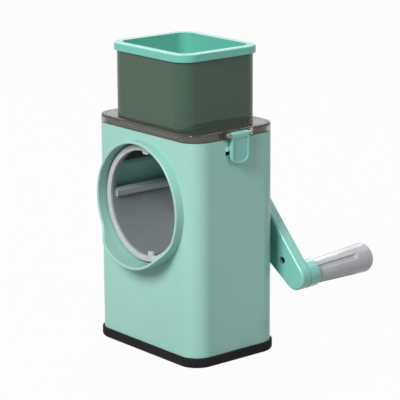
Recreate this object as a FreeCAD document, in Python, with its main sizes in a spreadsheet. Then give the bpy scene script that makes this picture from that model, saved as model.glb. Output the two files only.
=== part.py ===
import FreeCAD, Part
import os
import Sketcher
from FreeCAD import Placement, Rotation, Vector

# Rotary drum shredder. Millimetres, +Z up, origin at the centre of the underside of the base.
# The outlet faces -Y, the crank is at +Y, and the drum turns about a line along Y.

doc = FreeCAD.newDocument("shredder")
size = doc.addObject("Spreadsheet::Sheet", "size")

# Driving dimensions. Names that end in Radius are radii, the others are lengths, angles or counts.
SIZES = {
    # housing
    "bodyWidth": 124,
    "bodyDepth": 86,
    "bodyCorner": 15.6,
    "bodyWall": 2.4,
    "baseHeight": 8,
    "bodyEdge": 0.6,            # rounding of the housing's outer edges
    "axisHeight": 120.7,        # drum axis above the table
    "deckRise": 24.4,           # tray floor above the drum axis
    "topRise": 56.2,            # top of the housing above the drum axis
    "deckThickness": 2.4,
    # barrel and outlet collar
    "barrelRadius": 47.7,
    "barrelWall": 2.4,
    "collarReach": 7.2,         # upper lip in front of the housing
    "spoutReach": 15.6,         # lower lip in front of the housing
    "spoutStart": 20,           # below the axis, where the lip begins to sweep forward
    "spoutEnd": 43.5,           # below the axis, where it has reached the spout
    "lipEdge": 0.9,
    # rear bearing
    "bossRadius": 16,
    "bossHeight": 4,
    "bushRadius": 10,
    "bushFlangeRadius": 13,
    "bushFlange": 1.5,
    "journalRadius": 7,
    "runningGap": 0.05,
    "fitGap": 0.05,             # pieces that are pushed or glued together
    "looseGap": 0.3,            # pieces that only pass by each other
    "seamEdge": 0.25,           # rounding along the visible seams
    # base
    "padOverhang": 1.75,
    "padEdge": 2.4,
    "soleInset": 6,
    "soleDepth": 1.2,
    "soleIslandWidth": 50,
    "soleIslandDepth": 26,
    "soleIslandCorner": 8,
    "plateThickness": 3,
    "plateMargin": 0.6,         # plate edge inside the housing's outer face
    "plateRimHeight": 4,
    "plateRimWall": 1.8,
    "screwPostRadius": 4.5,
    "screwPostHeight": 14,
    "screwPostSink": 0.5,       # how far a post runs into the corner wall
    "screwHeadRadius": 3.2,
    "screwHeadHeight": 1.7,
    "screwShankRadius": 1.25,
    "screwLength": 10,
    "screwHoleGap": 0.1,
    # lid and hopper
    "lidHeight": 6.7,
    "lidPlate": 2.4,
    "lidEdge": 1.4,
    "lidLipWall": 1.6,
    "lidLipDepth": 5,
    "hopperSideInset": 3,       # hopper's sides inside the barrel's radius
    "hopperEndInset": 4.6,      # hopper's ends inside the housing's faces
    "hopperCorner": 12.8,
    "hopperWall": 2.2,
    "hopperEdge": 0.5,
    "archRadius": 46,           # chute wall over the drum
    # pusher
    "hopperRise": 65.2,         # top of the rim above the housing
    "rimHeight": 5.8,
    "rimCap": 2,
    "rimOverhang": 2.2,
    "rimGap": 0.4,
    "rimEdge": 0.9,
    "pusherGap": 0.5,
    "pusherWall": 2,
    "pusherSeat": 0.2,
    "pusherArchRadius": 50,
    "pusherFloor": 2.2,
    "pusherFoot": 33,           # underside of the pusher's two feet above the drum axis
    # latches and their catches
    "latchHalf": 8.9,
    "latchLength": 22.6,        # from the hinge pin to the tip
    "latchThickness": 2.9,
    "latchStandoff": 2.2,
    "latchBarrelRadius": 2.4,
    "latchRecess": 0.8,
    "latchBorder": 2.1,
    "latchCorner": 7,
    "latchEdge": 0.6,
    "pinRadius": 1.25,
    "pinOut": 2.7,              # hinge pin outside the housing's side
    "pinDrop": 3.3,             # hinge pin below the top of the lid
    "earRadius": 3,
    "earWidth": 4.1,
    "earCap": 1,
    "earGap": 0.4,
    "catchHalf": 11.2,
    "catchDrop": 8.8,           # underside of the catch below the top of the housing
    "catchHeight": 3.4,
    "catchProud": 1.9,
    "catchFlat": 1.6,
    "slotHeight": 3.6,
    "hookHalf": 6,
    "hookHeight": 2.6,
    "hookBite": 1,              # how far the hook reaches into the wall
    # drum
    "ringSetback": 0.3,
    "ringRadius": 46.3,
    "ringBoreRadius": 41.6,
    "ringFlange": 2.4,
    "sleeveRadius": 44.6,
    "sleeveLength": 2.2,
    "lugThickness": 1.4,        # the lugs stand at the back of the ring
    "lugWidth": 6.6,
    "lugCorner": 1.4,
    "upperLugAngle": 87,
    "upperLugDepth": 2.2,
    "lowerLugAngle": -79,
    "lowerLugDepth": 3.8,
    "drumRadius": 43,
    "drumSheet": 1,
    "drumSetback": 9,           # rear end of the steel wall inside the housing's back
    "windowStart": 3,           # behind the ring
    "windowStop": 6,            # before the rear end of the steel wall
    "windowEdge": 1.9,          # window edge beside the knife, above the axis
    "windowSide": 3.6,          # window edge at the crown, beside the axis
    "bladeGap": 0.2,
    "bladeThickness": 1.2,
    "bladeBelow": 3,
    "bladeAbove": 2.5,
    "bladeTipOut": 1.9,
    "bladeTipRise": 1.5,
    "discThickness": 3,
    "spigotLength": 5,
    "spigotWall": 2.4,
    "drumHubRadius": 10.5,
    "drumHubLength": 18,
    "ribHeight": 8,
    "ribTip": 3,
    "ribThickness": 2,
    "ribSink": 0.6,             # how far a rib runs into the hub and the disc
    "ribCount": 6,
    # shaft
    "drumHex": 12,
    "drumHexLength": 16.5,
    "hexGap": 0.2,
    "shaftCollarRadius": 9.5,
    "crankHex": 10,
    "crankHexLength": 7,
    "washerRadius": 12,
    "washerThickness": 0.8,
    # crank
    "crankGap": 6,              # between the housing and the arm
    "crankDrop": 39.8,          # degrees below the horizontal
    "crankLength": 94.8,
    "crankHubRadius": 22.7,
    "crankEndRadius": 11,
    "coverThickness": 5,
    "armThickness": 5,
    "armEdge": 2,
    "armWall": 2.4,
    "armCollarRadius": 13,
    "armCoreRadius": 9.5,
    "armPostRadius": 4.2,
    "armScrewNear": 36,
    "armScrewFar": 78,
    "armScrewWellRadius": 3,
    "armScrewWellDepth": 3,
    "armScrewHeadRadius": 2.7,
    "armScrewHeadHeight": 1.3,
    "armScrewLength": 4.4,
    "hubWeb": 1.2,
    "hubWellRadius": 5.6,
    "hubScrewHeadRadius": 4.2,
    "hubScrewHeadHeight": 1.7,
    "hubScrewRadius": 2,
    "hubScrewLength": 8,
    "hubCapRadius": 9,
    "hubCapHeight": 1.6,
    # grip
    "gripCant": 2,              # degrees, leaning towards the hub
    "gripPostRadius": 10.9,
    "gripPostLength": 9.9,
    "gripPostEdge": 0.8,
    "gripStartRadius": 9.6,
    "gripSeam": 53,             # sleeve end, from the arm's outer face
    "gripEndRadius": 12,
    "gripEnd": 65.5,            # widest place, from the arm's outer face
    "capCorner": 4.3,
    "capTurn": 65,              # degrees of the cap's corner before its crown
    "capSpigotLength": 3,
    "fluteWidth": 5,
    "fluteDepth": 0.9,
    "fluteEnd": 52,
    "fluteCount": 4,
    "flutePhase": 73.8,         # degrees from the arm's own line
    "boltRadius": 3,
    "boltThreadRadius": 2.5,
    "boltThreadDepth": 2.3,
    "boltHeadRadius": 6,
    "boltHeadHeight": 3,
    "boltSeat": 46,
    "boltWellRadius": 8,
}

for row, (alias, value) in enumerate(SIZES.items(), start=1):
    size.set(f"A{row}", alias)
    size.set(f"B{row}", str(value))
    size.setAlias(f"B{row}", alias)
doc.recompute()

parts = []


def num(formula):
    """Value of a formula of the sheet."""
    return float(size.evalExpression(formula))


# ---- sketches ----------------------------------------------------------------------------

def addBody(label):
    body = doc.addObject("PartDesign::Body", label)
    body.Label = label
    return body


def addSketch(body, role, offset="0"):
    sketch = body.newObject("Sketcher::SketchObject", "Sketch")
    plane = [item for item in body.Origin.OriginFeatures if item.Role == role][0]
    sketch.AttachmentSupport = [(plane, "")]
    sketch.MapMode = "FlatFace"
    sketch.setExpression("AttachmentOffset.Base.z", offset)
    return sketch


def bind(sketch, constraint, formula):
    index = sketch.addConstraint(constraint)
    sketch.setExpression(f"Constraints[{index}]", formula)


def pinPoint(sketch, geometry, point, x, y):
    bind(sketch, Sketcher.Constraint("DistanceX", -1, 1, geometry, point, num(x)), x)
    bind(sketch, Sketcher.Constraint("DistanceY", -1, 1, geometry, point, num(y)), y)


def addCircle(sketch, radius, x="0", y="0"):
    circle = Part.Circle(Vector(num(x), num(y), 0), Vector(0, 0, 1), num(radius))
    index = sketch.addGeometry(circle, False)
    bind(sketch, Sketcher.Constraint("Radius", index, num(radius)), radius)
    pinPoint(sketch, index, 3, x, y)


def arcMiddle(start, end, radius):
    """Middle point of the short arc from start to end, counter-clockwise for a positive radius."""
    chord = end - start
    half = chord.Length / 2
    height = (radius * radius - half * half) ** 0.5
    side = Vector(-chord.y, chord.x, 0).normalize()
    if radius > 0:
        return (start + end) / 2 + side * (height - radius)
    return (start + end) / 2 - side * (height + radius)


def addProfile(sketch, corners):
    """Closed outline. A corner is (x, y), or (x, y, radius) where an arc leads to the next one."""
    points = [Vector(num(corner[0]), num(corner[1]), 0) for corner in corners]
    first = []
    last = []
    for place, corner in enumerate(corners):
        start = points[place]
        end = points[(place + 1) % len(points)]
        if len(corner) == 2:
            index = sketch.addGeometry(Part.LineSegment(start, end), False)
            first.append((index, 1))
            last.append((index, 2))
            continue
        radius = num(corner[2])
        middle = arcMiddle(start, end, radius)
        if radius > 0:
            index = sketch.addGeometry(Part.Arc(start, middle, end), False)
            first.append((index, 1))
            last.append((index, 2))
        else:
            index = sketch.addGeometry(Part.Arc(end, middle, start), False)
            first.append((index, 2))
            last.append((index, 1))
        bind(sketch, Sketcher.Constraint("Radius", index, abs(radius)), f"abs({corner[2]})")
    for place, corner in enumerate(corners):
        pinPoint(sketch, *first[place], corner[0], corner[1])
        before = last[place - 1]
        sketch.addConstraint(Sketcher.Constraint("Coincident", *before, *first[place]))


def addRoundedRectangle(sketch, width, depth, radius):
    x = f"({width}) / 2"
    y = f"({depth}) / 2"
    innerX = f"({width}) / 2 - ({radius})"
    innerY = f"({depth}) / 2 - ({radius})"
    addProfile(sketch, [
        (f"-({innerX})", f"-{y}"),
        (innerX, f"-{y}", radius),
        (x, f"-({innerY})"),
        (x, innerY, radius),
        (innerX, y),
        (f"-({innerX})", y, radius),
        (f"-{x}", innerY),
        (f"-{x}", f"-({innerY})", radius),
    ])


def addRectangle(sketch, left, right, bottom, top):
    addProfile(sketch, [(left, bottom), (right, bottom), (right, top), (left, top)])


def turnSketch(sketch, angle):
    """Turn an XZ sketch about its own origin, X towards Z."""
    offset = sketch.AttachmentOffset.Base
    sketch.AttachmentOffset = Placement(offset, Rotation(Vector(0, 0, 1), num(angle)))
    sketch.setExpression("AttachmentOffset.Rotation.Angle", angle)


def addHexagon(sketch, acrossFlats):
    flat = f"({acrossFlats}) / 2"
    corner = f"({acrossFlats}) / sqrt(3)"
    addProfile(sketch, [
        (f"{corner}", "0"),
        (f"{corner} / 2", flat),
        (f"-{corner} / 2", flat),
        (f"-{corner}", "0"),
        (f"-{corner} / 2", f"-{flat}"),
        (f"{corner} / 2", f"-{flat}"),
    ])


# ---- features ----------------------------------------------------------------------------

def addFeature(body, kind, profile, length, reverse=False, bothWays=False):
    """Pad or Pocket. It must change the solid's volume the right way."""
    doc.recompute()
    before = body.Shape.Volume if body.Tip and not body.Shape.isNull() else 0
    feature = body.newObject(f"PartDesign::{kind}", kind)
    feature.Profile = profile
    feature.setExpression("Length", length)
    feature.Reversed = reverse
    if bothWays:
        feature.SideType = "Symmetric"
    body.Tip = feature
    doc.recompute()
    grown = body.Shape.Volume > before
    if grown != (kind == "Pad"):
        raise RuntimeError(f"{body.Label}: {kind} {feature.Name} goes the wrong way")
    return feature


def addRevolution(body, profile):
    feature = body.newObject("PartDesign::Revolution", "Revolution")
    feature.Profile = profile
    feature.ReferenceAxis = (profile, ["V_Axis"])
    feature.Angle = 360
    body.Tip = feature
    doc.recompute()
    return feature


def addPolarPattern(body, feature, axis, count):
    pattern = body.newObject("PartDesign::PolarPattern", "PolarPattern")
    pattern.Originals = [feature]
    pattern.Axis = axis
    pattern.Angle = 360
    pattern.setExpression("Occurrences", count)
    body.Tip = pattern
    doc.recompute()
    return pattern


def roundEdges(body, radius, chosen):
    """Fillet of every edge of the body's last feature for which chosen is true."""
    doc.recompute()
    base = body.Tip
    names = []
    for index, edge in enumerate(base.Shape.Edges, start=1):
        if chosen(edge):
            names.append(f"Edge{index}")
    if not names:
        raise RuntimeError(f"{body.Label}: no edge to round")
    fillet = body.newObject("PartDesign::Fillet", "Fillet")
    fillet.Base = (base, names)
    fillet.setExpression("Radius", radius)
    body.Tip = fillet
    doc.recompute()
    return fillet


def flatAt(edge, axis, place):
    """Is the whole edge in the plane where this coordinate has this value?"""
    box = edge.BoundBox
    low = getattr(box, axis + "Min")
    high = getattr(box, axis + "Max")
    return abs(low - place) < tiny and abs(high - place) < tiny


tiny = 0.01                     # tolerance when an edge is looked up by its place

# ---- places worked out from the sizes ----------------------------------------------------

bodyTop = "(size.axisHeight + size.topRise)"
rimTop = f"({bodyTop} + size.hopperRise)"
hopperWidth = "(2 * (size.barrelRadius - size.hopperSideInset))"
hopperDepth = "(size.bodyDepth - 2 * size.hopperEndInset)"
side = "size.bodyWidth / 2"
back = "size.bodyDepth / 2"
axis = "size.axisHeight"
innerWidth = "(size.bodyWidth - 2 * size.bodyWall)"
innerDepth = "(size.bodyDepth - 2 * size.bodyWall)"
innerCorner = "(size.bodyCorner - size.bodyWall)"
deckTop = "(size.axisHeight + size.deckRise)"
deckUnder = "(size.axisHeight + size.deckRise - size.deckThickness)"
barrelOuter = "(size.barrelRadius + size.barrelWall)"
spoutFront = "(size.bodyDepth / 2 + size.spoutReach)"
collarFront = "(size.bodyDepth / 2 + size.collarReach)"
chuteWidth = f"({hopperWidth} - 2 * size.hopperWall)"
chuteDepth = f"({hopperDepth} - 2 * size.hopperWall)"
chuteCorner = "(size.hopperCorner - size.hopperWall)"
lidTop = f"({bodyTop} + size.lidHeight)"
pinHeight = f"({bodyTop} + size.lidHeight - size.pinDrop)"
pinX = "(size.bodyWidth / 2 + size.pinOut)"
earStart = "(size.latchHalf + size.earGap)"
catchBottom = f"({bodyTop} - size.catchDrop)"
postSpread = "((size.bodyCorner - size.bodyWall - size.screwPostRadius + size.screwPostSink) / sqrt(2))"
postX = f"(size.bodyWidth / 2 - size.bodyCorner + {postSpread})"
postY = f"(size.bodyDepth / 2 - size.bodyCorner + {postSpread})"
bossEnd = "(size.bodyDepth / 2 + size.bossHeight)"
rearInner = "(size.bodyDepth / 2 - size.bodyWall)"
hopperTop = f"({rimTop} - size.rimCap - size.pusherSeat)"
boxWidth = f"({chuteWidth} - 2 * size.pusherGap)"
boxDepth = f"({chuteDepth} - 2 * size.pusherGap)"
boxCorner = f"({chuteCorner} - size.pusherGap)"
foot = "(size.axisHeight + size.pusherFoot)"
fourCorners = (("1", "1"), ("1", "-1"), ("-1", "1"), ("-1", "-1"))
bothSides = ("1", "-1")


# ---- housing -----------------------------------------------------------------------------

def makeBodyShell():
    body = addBody("body_shell")
    outline = addSketch(body, "XY_Plane", "size.baseHeight")
    addRoundedRectangle(outline, "size.bodyWidth", "size.bodyDepth", "size.bodyCorner")
    addFeature(body, "Pad", outline, f"{bodyTop} - size.baseHeight")
    roundEdges(body, "size.bodyEdge", lambda edge: flatAt(edge, "Z", num(bodyTop)))

    cavity = addSketch(body, "XY_Plane", "size.baseHeight")
    addRoundedRectangle(cavity, innerWidth, innerDepth, innerCorner)
    addFeature(body, "Pocket", cavity, f"{deckUnder} - size.baseHeight", reverse=True)

    barrel = addSketch(body, "XZ_Plane", spoutFront)
    addCircle(barrel, barrelOuter, y=axis)
    addFeature(body, "Pad", barrel, f"{spoutFront} + {back} - size.bodyWall / 2", reverse=True)

    tray = addSketch(body, "XY_Plane", bodyTop)
    addRoundedRectangle(tray, innerWidth, innerDepth, innerCorner)
    addFeature(body, "Pocket", tray, f"{bodyTop} - {deckTop}")

    # the lip sweeps forward below the axis, in two equal arcs
    sweep = "(size.spoutReach - size.collarReach)"
    fall = "(size.spoutEnd - size.spoutStart)"
    bend = f"({sweep} * {sweep} + {fall} * {fall}) / (4 * {sweep})"
    above = f"{axis} + {barrelOuter} + size.collarReach"
    lip = addSketch(body, "YZ_Plane")
    addProfile(lip, [
        (f"-{collarFront}", above),
        (f"-{collarFront}", f"{axis} - size.spoutStart", f"-{bend}"),
        (f"-({collarFront} + {spoutFront}) / 2", f"{axis} - (size.spoutStart + size.spoutEnd) / 2", bend),
        (f"-{spoutFront}", f"{axis} - size.spoutEnd"),
        (f"-{spoutFront} - size.collarReach", f"{axis} - size.spoutEnd"),
        (f"-{spoutFront} - size.collarReach", above),
    ])
    addFeature(body, "Pocket", lip, f"2 * {barrelOuter} + size.barrelWall", bothWays=True)

    bore = addSketch(body, "XZ_Plane", spoutFront)
    addCircle(bore, "size.barrelRadius", y=axis)
    addFeature(body, "Pocket", bore, f"{spoutFront} + {rearInner}")
    lipFront = -num(f"{back} + size.collarReach / 2")
    roundEdges(body, "size.lipEdge", lambda edge: edge.BoundBox.YMax < lipFront)

    mouth = addSketch(body, "XY_Plane", deckTop)
    addRoundedRectangle(mouth, chuteWidth, chuteDepth, chuteCorner)
    addFeature(body, "Pocket", mouth, "size.deckRise")

    boss = addSketch(body, "XZ_Plane", f"-{bossEnd}")
    addCircle(boss, "size.bossRadius", y=axis)
    addFeature(body, "Pad", boss, "size.bossHeight + size.bodyWall / 2")
    roundEdges(body, "size.bodyEdge", lambda edge: flatAt(edge, "Y", num(bossEnd)))
    bearing = addSketch(body, "XZ_Plane", f"-{bossEnd}")
    addCircle(bearing, "size.bushRadius + size.fitGap", y=axis)
    addFeature(body, "Pocket", bearing, "size.bossHeight + 2 * size.bodyWall", reverse=True)

    posts = addSketch(body, "XY_Plane", "size.baseHeight")
    for signX, signY in fourCorners:
        addCircle(posts, "size.screwPostRadius", f"{signX} * {postX}", f"{signY} * {postY}")
    addFeature(body, "Pad", posts, "size.screwPostHeight")
    pilots = addSketch(body, "XY_Plane", "size.baseHeight")
    for signX, signY in fourCorners:
        addCircle(pilots, "size.screwShankRadius + size.screwHoleGap / 2",
                  f"{signX} * {postX}", f"{signY} * {postY}")
    addFeature(body, "Pocket", pilots, "size.screwPostHeight - size.bodyWall", reverse=True)

    catches = addSketch(body, "XZ_Plane")
    for sign in bothSides:
        addProfile(catches, [
            (f"{sign} * ({side} - size.bodyWall / 2)", catchBottom),
            (f"{sign} * ({side} + size.catchProud)", catchBottom),
            (f"{sign} * ({side} + size.catchProud)", f"{catchBottom} + size.catchFlat"),
            (f"{sign} * {side}", f"{catchBottom} + size.catchHeight"),
            (f"{sign} * ({side} - size.bodyWall / 2)", f"{catchBottom} + size.catchHeight"),
        ])
    addFeature(body, "Pad", catches, "2 * size.catchHalf", bothWays=True)
    slots = addSketch(body, "XZ_Plane")
    for sign in bothSides:
        addRectangle(slots, f"{sign} * ({side} - 2 * size.bodyWall)", f"{sign} * ({side} + size.bodyWall)",
                     f"{catchBottom} - size.slotHeight", catchBottom)
    addFeature(body, "Pocket", slots, "2 * size.catchHalf", bothWays=True)
    return body


# ---- base --------------------------------------------------------------------------------

def makeBasePlate():
    body = addBody("base_plate")
    bottom = "size.baseHeight - size.plateThickness"
    plate = addSketch(body, "XY_Plane", bottom)
    addRoundedRectangle(plate, "size.bodyWidth - 2 * size.plateMargin",
                        "size.bodyDepth - 2 * size.plateMargin", "size.bodyCorner - size.plateMargin")
    addFeature(body, "Pad", plate, "size.plateThickness")
    rim = addSketch(body, "XY_Plane", "size.baseHeight")
    inset = "size.looseGap"
    addRoundedRectangle(rim, f"{innerWidth} - 2 * {inset}", f"{innerDepth} - 2 * {inset}",
                        f"{innerCorner} - {inset}")
    inset = "(size.looseGap + size.plateRimWall)"
    addRoundedRectangle(rim, f"{innerWidth} - 2 * {inset}", f"{innerDepth} - 2 * {inset}",
                        f"{innerCorner} - {inset}")
    addFeature(body, "Pad", rim, "size.plateRimHeight")
    notches = addSketch(body, "XY_Plane", "size.baseHeight + size.plateRimHeight")
    for signX, signY in fourCorners:
        addCircle(notches, "size.screwPostRadius + size.looseGap",
                  f"{signX} * {postX}", f"{signY} * {postY}")
    addFeature(body, "Pocket", notches, "size.plateRimHeight")
    holes = addSketch(body, "XY_Plane", "size.baseHeight")
    wells = addSketch(body, "XY_Plane", bottom)
    for signX, signY in fourCorners:
        addCircle(holes, "size.screwShankRadius + size.screwHoleGap",
                  f"{signX} * {postX}", f"{signY} * {postY}")
        addCircle(wells, "size.screwHeadRadius + size.screwHoleGap",
                  f"{signX} * {postX}", f"{signY} * {postY}")
    addFeature(body, "Pocket", holes, "size.plateThickness")
    addFeature(body, "Pocket", wells, "size.screwHeadHeight + size.screwHoleGap", reverse=True)
    return body


def makeBasePad():
    body = addBody("base_pad")
    outer = addSketch(body, "XY_Plane")
    addRoundedRectangle(outer, "size.bodyWidth + 2 * size.padOverhang",
                        "size.bodyDepth + 2 * size.padOverhang", "size.bodyCorner + size.padOverhang")
    addFeature(body, "Pad", outer, "size.baseHeight")
    roundEdges(body, "size.padEdge", lambda edge: flatAt(edge, "Z", 0))
    roundEdges(body, "size.bodyEdge", lambda edge: flatAt(edge, "Z", num("size.baseHeight")))
    nest = addSketch(body, "XY_Plane", "size.baseHeight")
    slack = "(size.plateMargin - size.fitGap)"
    addRoundedRectangle(nest, f"size.bodyWidth - 2 * {slack}", f"size.bodyDepth - 2 * {slack}",
                        f"size.bodyCorner - {slack}")
    addFeature(body, "Pocket", nest, "size.plateThickness")
    sole = addSketch(body, "XY_Plane")
    addRoundedRectangle(sole, "size.bodyWidth - 2 * size.soleInset",
                        "size.bodyDepth - 2 * size.soleInset", "size.bodyCorner - size.soleInset / 2")
    addRoundedRectangle(sole, "size.soleIslandWidth", "size.soleIslandDepth", "size.soleIslandCorner")
    addFeature(body, "Pocket", sole, "size.soleDepth", reverse=True)
    return body


# ---- lid with hopper ---------------------------------------------------------------------

def makeHopper():
    body = addBody("hopper")
    lid = addSketch(body, "XY_Plane", bodyTop)
    addRoundedRectangle(lid, "size.bodyWidth", "size.bodyDepth", "size.bodyCorner")
    addFeature(body, "Pad", lid, "size.lidHeight")
    roundEdges(body, "size.lidEdge", lambda edge: flatAt(edge, "Z", num(lidTop)))
    under = addSketch(body, "XY_Plane", bodyTop)
    addRoundedRectangle(under, innerWidth, innerDepth, innerCorner)
    addFeature(body, "Pocket", under, "size.lidHeight - size.lidPlate", reverse=True)

    lip = addSketch(body, "XY_Plane", f"{bodyTop} - size.lidLipDepth")
    for inset in ("size.looseGap", "(size.looseGap + size.lidLipWall)"):
        addRoundedRectangle(lip, f"{innerWidth} - 2 * {inset}", f"{innerDepth} - 2 * {inset}",
                            f"{innerCorner} - {inset}")
    addFeature(body, "Pad", lip, "size.lidLipDepth + size.lidHeight - size.lidPlate / 2")

    bottom = f"({deckTop} + size.looseGap)"
    chute = addSketch(body, "XY_Plane", bottom)
    addRoundedRectangle(chute, hopperWidth, hopperDepth, "size.hopperCorner")
    addFeature(body, "Pad", chute, f"{hopperTop} - {bottom}")
    throat = addSketch(body, "XY_Plane", hopperTop)
    addRoundedRectangle(throat, chuteWidth, chuteDepth, chuteCorner)
    addFeature(body, "Pocket", throat, f"{hopperTop} - {bottom}")
    arch = addSketch(body, "XZ_Plane")
    addCircle(arch, "size.archRadius", y=axis)
    addFeature(body, "Pocket", arch, "size.bodyDepth", bothWays=True)

    for offset in (f"{earStart} + size.earWidth", f"-{earStart}"):
        ears = addSketch(body, "XZ_Plane", offset)
        for sign in bothSides:
            root = f"{sign} * ({side} - size.bodyWall / 2)"
            tip = f"{sign} * {pinX}"
            nose = f"{sign} * ({pinX} + size.earRadius)"
            addProfile(ears, [
                (root, f"{pinHeight} - size.earRadius"),
                (tip, f"{pinHeight} - size.earRadius", f"{sign} * size.earRadius"),
                (nose, pinHeight, f"{sign} * size.earRadius"),
                (tip, f"{pinHeight} + size.earRadius"),
                (root, f"{pinHeight} + size.earRadius"),
            ])
        addFeature(body, "Pad", ears, "size.earWidth", reverse=True)
    bores = addSketch(body, "XZ_Plane")
    for sign in bothSides:
        addCircle(bores, "size.pinRadius + size.fitGap", f"{sign} * {pinX}", pinHeight)
    addFeature(body, "Pocket", bores, f"2 * ({earStart} + size.earWidth - size.earCap)", bothWays=True)
    roundEdges(body, "size.hopperEdge", lambda edge: flatAt(edge, "Z", num(hopperTop)))
    return body


# ---- pusher ------------------------------------------------------------------------------

def makePusher():
    """Open box with a saddle-shaped floor over the drum and a rim that hooks over the hopper."""
    body = addBody("pusher_outside")
    box = addSketch(body, "XY_Plane", foot)
    addRoundedRectangle(box, boxWidth, boxDepth, boxCorner)
    addFeature(body, "Pad", box, f"{rimTop} - {foot}")
    rim = addSketch(body, "XY_Plane", f"{rimTop} - size.rimHeight")
    addRoundedRectangle(rim, f"{hopperWidth} + 2 * size.rimOverhang",
                        f"{hopperDepth} + 2 * size.rimOverhang", "size.hopperCorner + size.rimOverhang")
    addFeature(body, "Pad", rim, "size.rimHeight")
    roundEdges(body, "size.rimEdge", lambda edge: flatAt(edge, "Z", num(rimTop)))
    hook = addSketch(body, "XY_Plane", f"{rimTop} - size.rimHeight")
    addRoundedRectangle(hook, f"{hopperWidth} + 2 * size.rimGap",
                        f"{hopperDepth} + 2 * size.rimGap", "size.hopperCorner + size.rimGap")
    addRoundedRectangle(hook, boxWidth, boxDepth, boxCorner)
    addFeature(body, "Pocket", hook, "size.rimHeight - size.rimCap", reverse=True)
    saddle = addSketch(body, "XZ_Plane")
    addCircle(saddle, "size.pusherArchRadius", y=axis)
    addFeature(body, "Pocket", saddle, "size.bodyDepth", bothWays=True)

    inside = addBody("pusher_inside")
    room = addSketch(inside, "XY_Plane", f"{foot} + size.pusherFloor")
    addRoundedRectangle(room, f"{boxWidth} - 2 * size.pusherWall", f"{boxDepth} - 2 * size.pusherWall",
                        f"{boxCorner} - size.pusherWall")
    addFeature(inside, "Pad", room, f"{rimTop} - {foot}")
    floor = addSketch(inside, "XZ_Plane")
    addCircle(floor, "size.pusherArchRadius + size.pusherFloor", y=axis)
    addFeature(inside, "Pocket", floor, "size.bodyDepth", bothWays=True)

    pusher = doc.addObject("Part::Cut", "pusher")
    pusher.Label = "pusher"
    pusher.Base = body
    pusher.Tool = inside
    return pusher


# ---- latches -----------------------------------------------------------------------------

def makeLatch(label, turn):
    """Tongue that hangs from its hinge pin, modelled about the pin and facing +X."""
    body = addBody(label)
    inner = "(size.latchStandoff - size.pinOut)"
    outer = f"({inner} + size.latchThickness)"

    def addTongue(sketch, inset, top):
        wide = f"(size.latchHalf - {inset})"
        corner = f"(size.latchCorner - {inset})"
        arcStart = "size.latchCorner - size.latchLength"
        addProfile(sketch, [
            (f"-{wide}", top),
            (f"-{wide}", arcStart, corner),
            (f"{corner} - {wide}", f"{inset} - size.latchLength"),
            (f"{wide} - {corner}", f"{inset} - size.latchLength", corner),
            (wide, arcStart),
            (wide, top),
        ])

    tongue = addSketch(body, "YZ_Plane", inner)
    addTongue(tongue, "0", "0")
    addFeature(body, "Pad", tongue, "size.latchThickness")
    barrel = addSketch(body, "XZ_Plane")
    addCircle(barrel, "size.latchBarrelRadius")
    addFeature(body, "Pad", barrel, "2 * size.latchHalf", bothWays=True)
    panel = addSketch(body, "YZ_Plane", outer)
    addTongue(panel, "size.latchBorder", "-size.latchBarrelRadius")
    addFeature(body, "Pocket", panel, "size.latchRecess")
    roundEdges(body, "size.latchEdge", lambda edge: flatAt(edge, "X", num(outer)))

    hookInner = "(-size.pinOut - size.hookBite)"
    hookTop = f"({catchBottom} - size.looseGap - {pinHeight})"
    hook = addSketch(body, "XZ_Plane")
    addRectangle(hook, hookInner, f"{inner} + size.latchThickness / 2",
                 f"{hookTop} - size.hookHeight", hookTop)
    addFeature(body, "Pad", hook, "2 * size.hookHalf", bothWays=True)
    bore = addSketch(body, "XZ_Plane")
    addCircle(bore, "size.pinRadius + size.runningGap")
    addFeature(body, "Pocket", bore, "2 * size.latchHalf", bothWays=True)

    body.Placement = Placement(turn.multVec(Vector(num(pinX), 0, 0)) + Vector(0, 0, num(pinHeight)), turn)
    return body


# ---- drum --------------------------------------------------------------------------------

ringFront = "(size.ringSetback - size.bodyDepth / 2)"
ringBack = f"({ringFront} + size.ringFlange)"
drumInner = "(size.drumRadius - size.drumSheet)"
drumRear = f"({back} - size.drumSetback)"
discBack = f"({drumRear} + size.discThickness)"
windowFront = f"({ringBack} + size.windowStart)"
windowRear = f"({drumRear} - size.windowStop)"
bladeOuter = f"({drumInner} - size.bladeGap)"
bladeInner = f"({drumInner} - size.bladeGap - size.bladeThickness)"
bladeStart = f"({windowFront} + size.looseGap)"
bladeEnd = f"({windowRear} - size.looseGap)"


def placeOnAxis(body):
    body.setExpression("Placement.Base.z", axis)
    parts.append(body)


def makeDrumFrontRing():
    body = addBody("drum_front_ring")
    section = addSketch(body, "XY_Plane")
    socket = "size.drumRadius + size.fitGap"
    addProfile(section, [
        ("size.ringBoreRadius", ringFront),
        ("size.ringRadius", ringFront),
        ("size.ringRadius", ringBack),
        ("size.sleeveRadius", ringBack),
        ("size.sleeveRadius", f"{ringBack} + size.sleeveLength"),
        (socket, f"{ringBack} + size.sleeveLength"),
        (socket, ringBack),
        ("size.ringBoreRadius", ringBack),
    ])
    addRevolution(body, section)
    roundEdges(body, "size.bodyEdge", lambda edge: flatAt(edge, "Y", num(ringFront)))
    root = "(size.ringBoreRadius + size.ringRadius) / 2"
    half = "size.lugWidth / 2"
    for angle, depth in (("size.upperLugAngle", "size.upperLugDepth"),
                         ("size.lowerLugAngle", "size.lowerLugDepth")):
        lug = addSketch(body, "XZ_Plane", f"-{ringBack}")
        turnSketch(lug, angle)
        tip = f"(size.ringBoreRadius - {depth})"
        addProfile(lug, [
            (root, f"-{half}"),
            (root, half),
            (f"{tip} + size.lugCorner", half, "size.lugCorner"),
            (tip, f"{half} - size.lugCorner"),
            (tip, f"size.lugCorner - {half}", "size.lugCorner"),
            (f"{tip} + size.lugCorner", f"-{half}"),
        ])
        addFeature(body, "Pad", lug, "size.lugThickness")
    return body


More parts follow.
